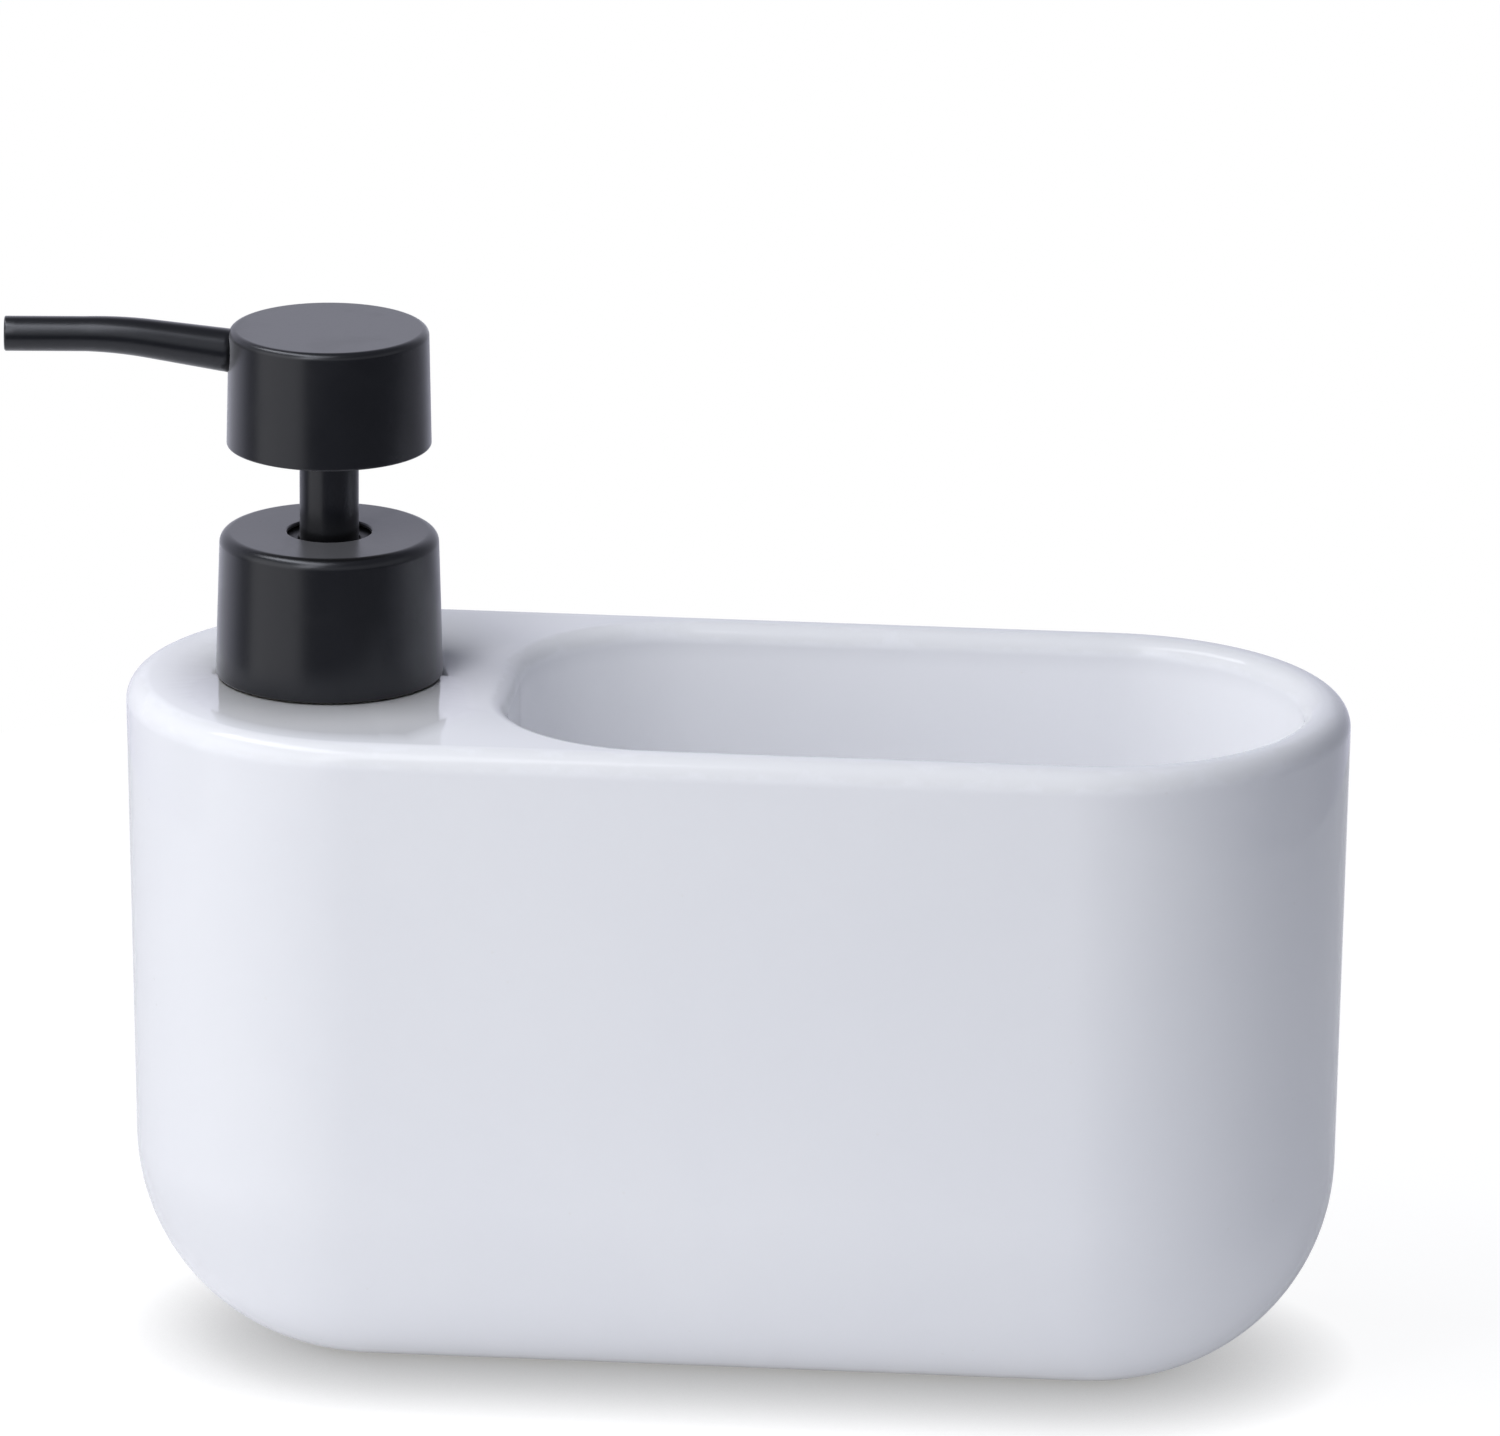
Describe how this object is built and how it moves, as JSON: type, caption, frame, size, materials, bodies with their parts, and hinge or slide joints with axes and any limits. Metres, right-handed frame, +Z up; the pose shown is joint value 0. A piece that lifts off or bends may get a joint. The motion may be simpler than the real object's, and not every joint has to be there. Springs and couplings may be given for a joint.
{
  "type": "soap pump caddy",
  "caption": "Glazed ceramic soap reservoir with a screw-on lotion pump beside an open well that holds a sponge.",
  "frame": {"origin": "on the surface that the caddy stands on, in the middle of the ceramic body's foot", "axes": "+Z up; +X along the body, away from the pump; -Y is the front; the spout points to -X, turned a little to the front"},
  "size_m": [0.1981, 0.075, 0.156],
  "materials": {
    "glaze": "glossy white glaze",
    "foot_pad": "smooth rubber sheet",
    "ivory_plastic": "moulded",
    "silicone": "satin silicone",
    "gasket": "matt",
    "natural_plastic": "natural moulded",
    "guide_plastic": "satin black",
    "tube_plastic": "translucent tube",
    "steel": "bright wire",
    "black_paint": "satin black paint",
    "dark_plastic": "matt moulded",
    "piston_plastic": "soft moulded",
    "liner_plastic": "amber brown tube"
  },
  "bodies": {
    "caddy": {"ceramic_body": "glaze", "base_pad": "foot_pad", "neck_insert": "ivory_plastic", "mouth_seal": "silicone"},
    "pump_unit": {"pump_housing": "natural_plastic", "guide_cap": "guide_plastic", "neck_gasket": "gasket", "ball_retainer": "natural_plastic", "dip_tube": "tube_plastic"},
    "collar": {"collar_skin_shell": "black_paint", "screw_cap": "dark_plastic"},
    "spring_seat": {"return_spring": "steel"},
    "actuator": {"head_shell": "black_paint", "head_insert": "dark_plastic", "spout_tube": "black_paint", "spout_liner": "liner_plastic", "stem_sleeve": "black_paint", "piston_stem": "natural_plastic"},
    "float_piston": {"piston": "piston_plastic"},
    "valve_ball": {"inlet_ball": "steel"}
  },
  "joints": [
    {"name": "pump_rise", "type": "slide", "parent": "caddy", "child": "pump_unit", "axis": [0, 0, 1], "range_m": [0, 0.00528]},
    {"name": "collar_unscrew", "type": "hinge", "parent": "pump_unit", "child": "collar", "pos_m": [-0.0604, 0, 0.1018], "axis": [0, 0, 1], "range_deg": [0, 450]},
    {"name": "spout_swivel", "type": "hinge", "parent": "pump_unit", "child": "spring_seat", "pos_m": [-0.0604, 0, 0.1018], "axis": [0, 0, 1], "continuous": true},
    {"name": "head_press", "type": "slide", "parent": "spring_seat", "child": "actuator", "axis": [0, 0, -1], "range_m": [0, 0.0125], "stiffness_N_per_m": 700, "springref_m": -0.012, "deforming": ["return_spring"]},
    {"name": "piston_float", "type": "slide", "parent": "actuator", "child": "float_piston", "axis": [0, 0, 1], "range_m": [0, 0.0008]},
    {"name": "ball_lift", "type": "slide", "parent": "pump_unit", "child": "valve_ball", "axis": [0, 0, 1], "range_m": [0, 0.00075]}
  ],
  "couplings": [
    {"joint": "collar_unscrew", "follows": "pump_rise", "rad_per_m": 1485.4}
  ]
}
